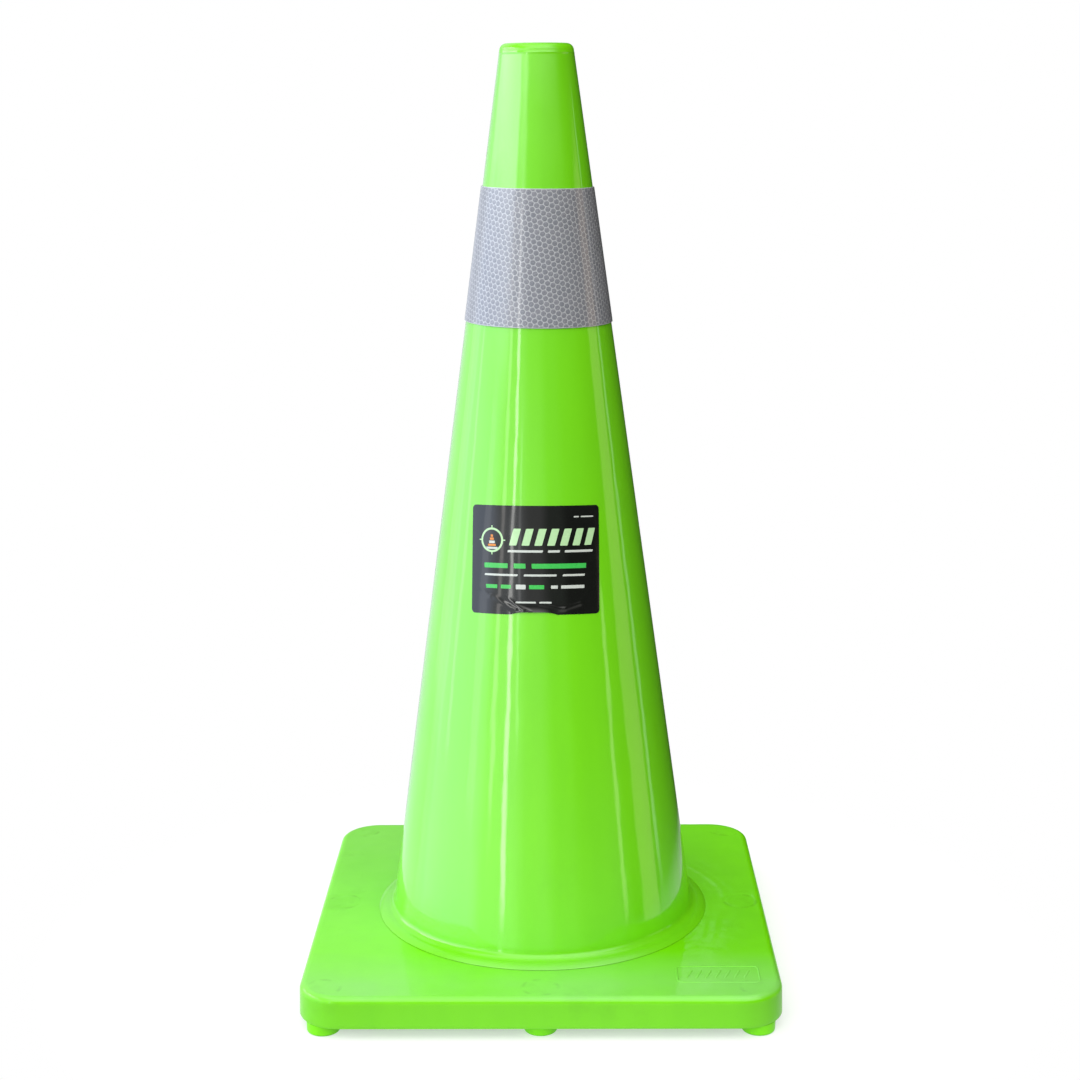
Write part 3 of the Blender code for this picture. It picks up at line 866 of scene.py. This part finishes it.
def emblem_bars(*bars):
    """Level bars of the emblem's cone, each given by its middle's height, its width and its thickness."""
    return [ink_bar(EMBLEM_X, centre_y, width, height) for centre_y, width, height in bars]


def pale_print():
    """The emblem's ring with its four ticks, and a row of slanted bars."""
    shapes = [ink_ring(EMBLEM_X, EMBLEM_Y, 8.3, 1.5)]
    for across, up in ((1, 0), (-1, 0), (0, 1), (0, -1)):
        width, height = (3.0, 0.9) if across else (0.9, 3.0)
        shapes.append(ink_bar(EMBLEM_X + 9.2 * across, EMBLEM_Y + 9.2 * up, width, height, corner=0.1))
    for number in range(7):
        shapes.append(ink_bar(-14.5 + number * 9.4, 17.0, 5.6, 12.4, PRINT_SLANT, 0.5))
    return shapes


def white_print():
    shapes = word_bars(-20.0, 6.6, (26.0, 9.0, 22.0), 3.6, 1.7, PRINT_SLANT)
    shapes += word_bars(-38.5, -11.0, (26.0, 24.0, 17.0), 4.6, 1.5, PRINT_SLANT)
    shapes += word_bars(-14.0, -19.6, (7.5,), 0.0, 3.4)
    shapes += word_bars(12.0, -19.6, (5.0, 18.0), 2.4, 2.4)
    shapes += word_bars(-14.0, -31.2, (15.0, 9.0), 2.4, 1.4)
    shapes += word_bars(29.0, 31.8, (4.0, 10.5), 1.4, 1.0)
    return shapes + emblem_bars((8.6, 9.6, 1.5), (13.0, 5.0, 1.9))


def green_print():
    shapes = word_bars(-39.0, -4.2, (19.0, 9.0, 41.0), 4.4, 3.6)
    shapes += word_bars(-37.5, -19.6, (9.5, 8.0), 2.4, 2.8)
    return shapes + word_bars(-4.0, -19.6, (11.0,), 0.0, 3.0)


def orange_print():
    return emblem_bars((10.8, 6.6, 1.6), (15.3, 3.4, 1.8), (17.6, 2.0, 1.8))


def make_label_print():
    """Generic print: a small cone in a ring, slanted bars, and plain bars where lines of print would be."""
    prints = (
        ("pale", "ink_pale_green", (0.50, 0.78, 0.42), pale_print()),
        ("white", "ink_white", (0.62, 0.66, 0.62), white_print()),
        ("green", "ink_green", (0.05, 0.55, 0.09), green_print()),
        ("orange", "ink_orange", (0.75, 0.25, 0.03), orange_print()),
    )
    for name, ink_name, colour, shapes in prints:
        ink = plain_material(ink_name, colour, 0.25, 0.4)
        add_piece("label_print_" + name, joined(shapes), ink, ["label"])


# ---------------- materials


def add_node(tree, kind, inputs=None, **settings):
    """A new shader node with its settings and inputs."""
    new = tree.nodes.new("ShaderNode" + kind)
    for name, value in settings.items():
        setattr(new, name, value)
    set_inputs(new, inputs or {})
    return new


def new_material(name):
    """A new material, its node tree and its shader."""
    material = bpy.data.materials.new(name)
    material.use_nodes = True
    return material, material.node_tree, material.node_tree.nodes["Principled BSDF"]


def set_inputs(node, inputs):
    """Sets a node's inputs. A value that is a socket is linked."""
    for name, value in inputs.items():
        if isinstance(value, bpy.types.NodeSocket):
            node.id_data.links.new(value, node.inputs[name])
        else:
            node.inputs[name].default_value = value


def object_place(tree):
    return add_node(tree, "TexCoord").outputs["Object"]


def parts_of(vector):
    return add_node(vector.id_data, "SeparateXYZ", {0: vector}).outputs


def math_node(operation, first, second=0.0):
    return add_node(first.id_data, "Math", {0: first, 1: second}, operation=operation).outputs[0]


def times(first, second):
    return math_node("MULTIPLY", first, second)


def plus(first, second):
    return math_node("ADD", first, second)


def minus(first, second):
    return math_node("SUBTRACT", first, second)


def larger(first, second):
    return math_node("MAXIMUM", first, second)


def vector_node(operation, *inputs):
    tree = inputs[0].id_data
    return add_node(tree, "VectorMath", dict(enumerate(inputs)), operation=operation).outputs


def noise(place, scale, detail=3.0, roughness=0.5):
    inputs = {"Vector": place, "Scale": scale, "Detail": detail, "Roughness": roughness}
    return add_node(place.id_data, "TexNoise", inputs).outputs["Fac"]


def stretched(place, scale_up):
    """A place with its height scaled, so that a pattern over it runs up and down the wall."""
    inputs = {"Vector": place, "Scale": (1.0, 1.0, scale_up)}
    return add_node(place.id_data, "Mapping", inputs).outputs[0]


def ramp(value, low, high, start=0.0, end=1.0, shape="LINEAR"):
    """A value mapped from start and end to low and high, and held beyond them."""
    inputs = {"Value": value, "From Min": start, "From Max": end, "To Min": low, "To Max": high}
    return add_node(value.id_data, "MapRange", inputs, interpolation_type=shape).outputs[0]


def mix_colour(share, first, second):
    """A colour mixed from two by a share; each is a socket or three numbers."""
    node = add_node(share.id_data, "Mix", {"Factor": share}, data_type="RGBA")
    inputs = {socket.identifier: number for number, socket in enumerate(node.inputs)}
    for name, value in (("A_Color", first), ("B_Color", second)):
        colour = value if isinstance(value, bpy.types.NodeSocket) else (*value, 1.0)
        set_inputs(node, {inputs[name]: colour})
    return next(socket for socket in node.outputs if socket.identifier == "Result_Color")


def bump(height, distance, strength=1.0, normal=None):
    inputs = {"Height": height, "Distance": distance, "Strength": strength}
    if normal is not None:
        inputs["Normal"] = normal
    return add_node(height.id_data, "Bump", inputs).outputs[0]


def pvc_material(name, look):
    """Glossy flexible PVC: slight colour drift, streaks along the pour, dust and soiling, painted shade in
    creases and below a height, a pale painted sheen on the base's front, orange-peel gloss.
    """
    material, tree, shader = new_material(name)
    place = object_place(tree)
    height = parts_of(place)["Z"]
    cloudy = noise(place, 9.0, 4.0, 0.55)
    patches = ramp(noise(place, 16.0, 5.0, 0.65), 0.0, 1.0, 0.60, 0.78)
    # mask of dust, soiling and painted shade in creases; it darkens the colour and roughens the gloss
    darkening = pvc_dirt_and_shade(place, patches, look["darkening"])
    # the span below which the painted shade and the worn gloss set in
    worn_and_shade_span = (look["worn_and_shade_height"] - 0.005, look["worn_and_shade_height"])
    normal = pvc_surface(place)
    gloss = ramp(height, look["worn_gloss"], look["gloss"], *worn_and_shade_span)
    rough_gloss = plus(ramp(patches, 0.065, 0.17), ramp(height, 0.0, 0.12, *WORN_RIM))
    colour = pvc_colour(place, cloudy, darkening, look)
    set_inputs(shader, {
        # painted shade: the colour is darkened below a height, on the cone's bead, the base's skirt and the
        # feet
        "Base Color": mix_colour(ramp(height, look["painted_shade"], 0.0, *worn_and_shade_span), colour, BLACK),
        "Roughness": plus(ramp(cloudy, 0.36, 0.46, 0.3, 0.7), times(darkening, 0.25)),
        "IOR": 1.55,
        "Specular IOR Level": look["sheen"],
        "Normal": normal,
        "Coat Weight": times(gloss, ramp(height, 1.0, 0.45, *WORN_RIM)),
        "Coat Roughness": rough_gloss,
        "Coat IOR": 1.75,
        "Coat Normal": normal,
    })
    return material


def pvc_dirt_and_shade(place, patches, dirt_share):
    """Painted shade in creases, from how near other surfaces are; soiling in the sink marks; and faint
    patches and specks of dust.
    """
    near = add_node(place.id_data, "AmbientOcclusion", {"Distance": 0.004}, samples=8).outputs["AO"]
    speckle = noise(place, 420.0, 2.0)
    # painted shade: darker where other surfaces are near, in creases and joints, broken up by speckle
    crease_shade = times(ramp(near, 1.0, 0.0, 0.15, 0.75), ramp(speckle, 0.55, 1.0, 0.35, 0.65))
    specks = ramp(noise(place, 900.0, 1.0), 0.0, 1.0, 0.73, 0.78)
    darkening = larger(larger(crease_shade, times(patches, dirt_share)), times(specks, dirt_share))
    return larger(darkening, sink_mark_grime(place))


def pvc_colour(place, cloudy, darkening, look):
    """The moulding's colour, drifting a little, darkened by dust, by soiling in the sink marks and by painted
    shade in creases, with a pale painted sheen on the front of the base's top.
    """
    upright = noise(stretched(place, 0.06), 55.0, 3.0)
    drift = plus(times(cloudy, 0.6), times(upright, 0.4))
    clean = mix_colour(ramp(drift, 0.0, 1.0, 0.35, 0.68), look["colour"], look["deep"])
    # the dark colour of dust and soiling, also used for the painted shade in creases
    dirt_and_shade_colour = tuple(channel * 0.38 for channel in look["deep"])
    dirtied_and_shaded = mix_colour(times(darkening, 0.55), clean, dirt_and_shade_colour)
    # painted sheen: a pale wash mixed in on the front of the base's top
    return mix_colour(times(base_painted_sheen(place), ramp(cloudy, 0.5, 1.0, 0.35, 0.65)), dirtied_and_shaded, PAINTED_SHEEN)


def pvc_surface(place):
    """The gloss's unevenness, from long waves down to orange peel."""
    normal = bump(noise(stretched(place, 0.45), 42.0, 2.0), 0.00022)
    normal = bump(noise(stretched(place, 0.10), 120.0, 2.0), 0.00006, 0.7, normal)
    return bump(noise(place, 1500.0, 2.0), 0.000008, 0.6, normal)


def sink_mark_grime(place):
    """Grime that lies in the ring-shaped sink marks over the feet, on the base's top, in broken arcs."""
    parts = parts_of(place)
    squares = []
    for part in (parts["X"], parts["Y"]):
        share = math_node("DIVIDE", part, FOOT_OFFSET)
        away = times(minus(share, math_node("ROUND", share)), FOOT_OFFSET)
        squares.append(times(away, away))
    distance = math_node("SQRT", plus(*squares))
    off_ring = math_node("ABSOLUTE", minus(distance, SINK_RING_RADIUS))
    broken = ramp(noise(place, 95.0, 3.0), 0.0, 1.0, 0.47, 0.62)
    ring = times(ramp(off_ring, 1.0, 0.0, 0.0004, 0.0022), broken)
    inside = times(ramp(distance, 0.30, 0.0, 0.010, 0.014), broken)
    on_top = ramp(parts["Z"], 0.0, 0.45, BASE_TOP - 0.0012, BASE_TOP - 0.0008)
    low_enough = ramp(parts["Z"], 1.0, 0.0, BASE_TOP + 0.0010, BASE_TOP + 0.0014)
    return times(larger(ring, inside), times(on_top, low_enough))


def base_painted_sheen(place):
    """A faint pale painted sheen on the front of the base's top, standing in for the light reflected there.
    """
    parts = parts_of(place)
    forward = ramp(parts["Y"], 0.26, 0.0, -0.152, -0.095)
    on_top = ramp(parts["Z"], 0.0, 1.0, BASE_TOP - 0.0030, BASE_TOP - 0.0010)
    under_bead = ramp(parts["Z"], 1.0, 0.0, BASE_TOP + 0.0020, BASE_TOP + 0.0040)
    return times(forward, times(on_top, under_bead))


def film_material(name, colour, tint, rough):
    """Clear prismatic film: a grey that shifts from cell to cell, with fine pale specks as painted glints,
    under a hard gloss.
    """
    material, tree, shader = new_material(name)
    place = object_place(tree)
    island = add_node(tree, "NewGeometry").outputs["Random Per Island"]
    share = plus(times(island, 0.55), times(noise(place, 60.0), 0.45))
    # painted glints: fine pale specks mixed into the film's colour
    painted_glints = ramp(noise(place, 2600.0, 1.0), 0.0, 0.35, 0.55, 0.75)
    set_inputs(shader, {
        "Base Color": mix_colour(painted_glints, mix_colour(share, colour, tint), (0.75, 0.77, 0.80)),
        "Metallic": 0.15,
        "Roughness": rough,
        "Normal": bump(noise(place, 900.0, 2.0), 0.00002, 0.5),
        "Coat Weight": 0.68,
        "Coat Roughness": 0.045,
        "Coat IOR": 1.55,
        "Coat Normal": bump(noise(place, 300.0, 2.0), 0.00002, 0.5, wall_normal(place)),
    })
    return material


def wall_normal(place):
    """Straight out from the cone's wall: the film's clear top layer lies smooth over the cells."""
    level = vector_node("MULTIPLY", place, (1.0, 1.0, 0.0))[0]
    outwards = vector_node("NORMALIZE", level)[0]
    leaned = vector_node("MULTIPLY_ADD", outwards, (COS_WALL, COS_WALL, 0.0), (0.0, 0.0, SIN_WALL))[0]
    spaces = {"vector_type": "NORMAL", "convert_from": "OBJECT", "convert_to": "WORLD"}
    return add_node(place.id_data, "VectorTransform", {"Vector": leaned}, **spaces).outputs[0]


def plain_material(name, colour, rough, coat=0.0, grain=600.0, variation=0.12):
    """A smooth printed or moulded surface with slight mottling."""
    material, tree, shader = new_material(name)
    place = object_place(tree)
    darker = tuple(channel * (1 - variation) for channel in colour)
    set_inputs(shader, {
        "Base Color": mix_colour(noise(place, grain), colour, darker),
        "Roughness": ramp(noise(place, 40.0, 4.0, 0.6), rough * 0.7, rough * 1.5, 0.3, 0.7),
        "Coat Weight": coat,
        "Coat Roughness": 0.05,
        "Normal": bump(noise(place, 300.0, 2.0), 0.00003, 0.5),
    })
    return material


# ---------------- studio


def turn_about(axis, angle):
    return Matrix.Rotation(angle, 4, axis)


def make_camera():
    data = bpy.data.cameras.new("camera")
    data.sensor_width = SENSOR_WIDTH
    data.lens = CAMERA_LENS
    camera = new_object("camera", data)
    level = Matrix.Translation((0.0, -CAMERA_DISTANCE, CAMERA_HEIGHT)) @ turn_about("X", math.pi / 2)
    pitched = level @ turn_about("X", -CAMERA_PITCH) @ turn_about("Z", CAMERA_ROLL)
    camera.matrix_world = turn_about("Z", CAMERA_ORBIT) @ pitched
    bpy.context.scene.camera = camera


def make_floor():
    """A pale round floor that fades into the backdrop round the object."""
    edge = turned_points([(FLOOR_RADIUS, 0.0)], FLOOR_SIDES)[:, 0]
    mesh = bpy.data.meshes.new("floor")
    mesh.from_pydata(edge.tolist(), [], [range(FLOOR_SIDES)])
    floor = new_object("floor", mesh)
    floor.location.z = -FLOOR_DROP
    material, tree, shader = new_material("pale_floor")
    distance = vector_node("LENGTH", object_place(tree))["Value"]
    set_inputs(shader, {
        "Base Color": (FLOOR_GREY, FLOOR_GREY, FLOOR_GREY, 1.0),
        "Roughness": 0.9,
        "Specular IOR Level": 0.0,
        "Alpha": ramp(distance, 1.0, 0.0, *FLOOR_FADE),
        "Emission Color": (1.0, 1.0, 1.0, 1.0),
        "Emission Strength": FLOOR_GLOW,
    })
    mesh.materials.append(material)


def make_world():
    """A white backdrop for the camera, and a dim room with soft boxes, screens and lights for all else."""
    world = bpy.data.worlds.new("studio")
    bpy.context.scene.world = world
    world.use_nodes = True
    tree = world.node_tree
    background = tree.nodes["Background"]
    set_inputs(background, {"Color": surround_light(tree), "Strength": 1.0})
    backdrop = add_node(tree, "Background", {"Color": (1.0, 1.0, 1.0, 1.0), "Strength": 1.0})
    seen = add_node(tree, "LightPath").outputs["Is Camera Ray"]
    mixed = add_node(tree, "MixShader", {0: seen, 1: background.outputs[0], 2: backdrop.outputs[0]})
    set_inputs(tree.nodes["World Output"], {"Surface": mixed.outputs[0]})


def surround_light(tree):
    """The light from each direction: all the panels of the surround, added up."""
    parts = parts_of(add_node(tree, "TexCoord").outputs["Generated"])
    azimuth = times(math_node("ARCTAN2", parts["X"], times(parts["Y"], -1.0)), 180 / math.pi)
    elevation = times(math_node("ARCSINE", parts["Z"]), 180 / math.pi)
    total = None
    for start, end, low, high, softness, radiance in SURROUND:
        share = times(between(azimuth, start, end, softness), between(elevation, low, high, softness))
        panel = add_node(tree, "VectorMath", {0: radiance, "Scale": share}, operation="SCALE").outputs[0]
        total = panel if total is None else vector_node("ADD", panel, total)[0]
    return total


def between(value, start, end, softness):
    """One where a value lies between two ends, and zero beyond them, with soft edges."""
    rise = ramp(value, 0.0, 1.0, start - softness, start + softness, "SMOOTHSTEP")
    return times(rise, ramp(value, 1.0, 0.0, end - softness, end + softness, "SMOOTHSTEP"))


def make_collar():
    """The collar's white sheet, the clear film over it, and the film's cells."""
    backing = plain_material("collar_backing_sheet", (0.70, 0.71, 0.73), 0.45)
    lattice = film_material("collar_film_welds", (0.42, 0.43, 0.46), (0.48, 0.49, 0.52), 0.32)
    cells = film_material("collar_film_cells", (0.195, 0.205, 0.24), (0.24, 0.24, 0.275), 0.28)
    make_collar_strip(
        "collar_sheet", SHEET_GAP, BACKING, 0.0, backing, "collar_backing"
    )
    make_collar_strip(
        "collar_film", FILM_START, FILM, FILM_INSET, lattice, "collar_prism_film"
    )
    make_collar_cells(cells)


def main():
    bpy.context.scene.view_settings.view_transform = "Standard"
    cone_pvc = pvc_material("cone_pvc_gloss", CONE_LOOK)
    base_pvc = pvc_material("base_pvc_gloss", BASE_LOOK)
    foot_pvc = pvc_material("foot_pvc_gloss", FOOT_LOOK)
    make_camera()
    make_cone_body(cone_pvc)
    make_base_tray(base_pvc)
    make_base_underside(base_pvc)
    make_base_emboss(base_pvc)
    make_feet(foot_pvc)
    make_collar()
    make_label(plain_material("label_black_vinyl", (0.009, 0.010, 0.009), 0.10, 0.50, 200.0, 0.3))
    make_label_print()
    make_world()
    make_floor()


main()
